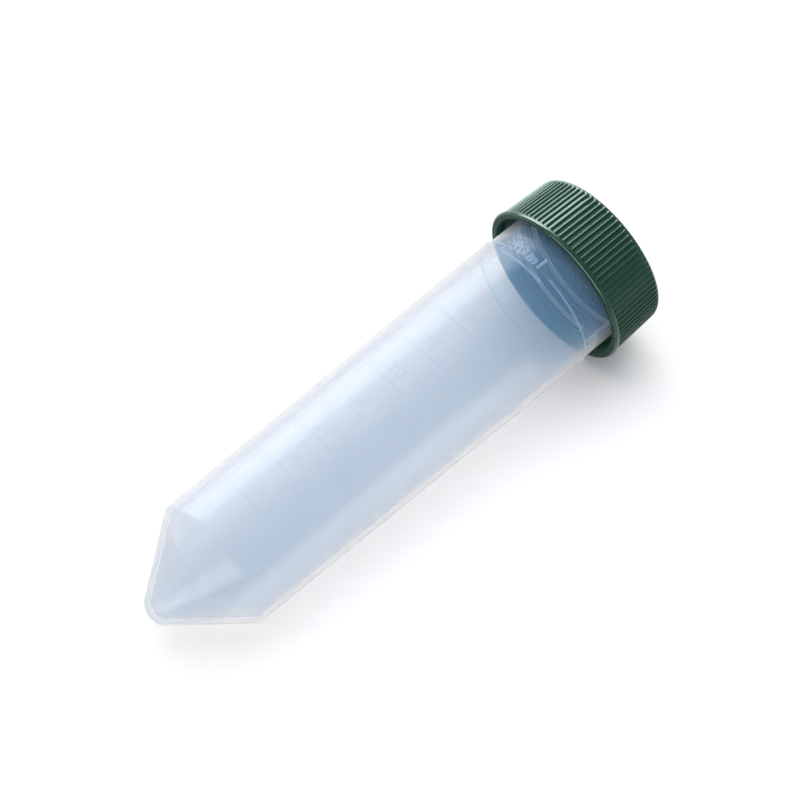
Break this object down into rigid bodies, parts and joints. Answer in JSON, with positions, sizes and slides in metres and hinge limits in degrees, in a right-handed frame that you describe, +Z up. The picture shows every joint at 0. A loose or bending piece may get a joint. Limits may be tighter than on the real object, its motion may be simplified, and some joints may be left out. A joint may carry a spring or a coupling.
{
  "type": "conical screw-cap tube",
  "caption": "Moulded translucent sample tube with a conical bottom, a ribbed screw cap that winds off its neck thread, and a sealing disc inside the cap.",
  "frame": {"origin": "under the middle of the lying tube, level with the lowest point of the cap's bead", "axes": "+X along the tube's axis from the conical tip to the cap, +Z up, +Y across; the volume marks face up"},
  "size_m": [0.117, 0.0352, 0.0353],
  "materials": {
    "clear_plastic": "milky translucent polypropylene, smooth",
    "cap_plastic": "dark bottle-green moulded plastic, satin",
    "liner_foam": "dark grey-green foamed sealing disc"
  },
  "bodies": {
    "tube": {"tube_body": "clear_plastic"},
    "seal": {"cap_liner": "liner_foam"},
    "cap": {"screw_cap": "cap_plastic"}
  },
  "joints": [
    {"name": "cap_lift", "type": "slide", "parent": "tube", "child": "seal", "axis": [1, 0, 0], "range_m": [0, 0.01401]},
    {"name": "cap_turn", "type": "hinge", "parent": "seal", "child": "cap", "pos_m": [0.0585, 0, 0.01765], "axis": [1, 0, 0], "range_deg": [0, 1260]}
  ],
  "couplings": [
    {"joint": "cap_lift", "follows": "cap_turn", "m_per_rad": 0.00063662}
  ]
}
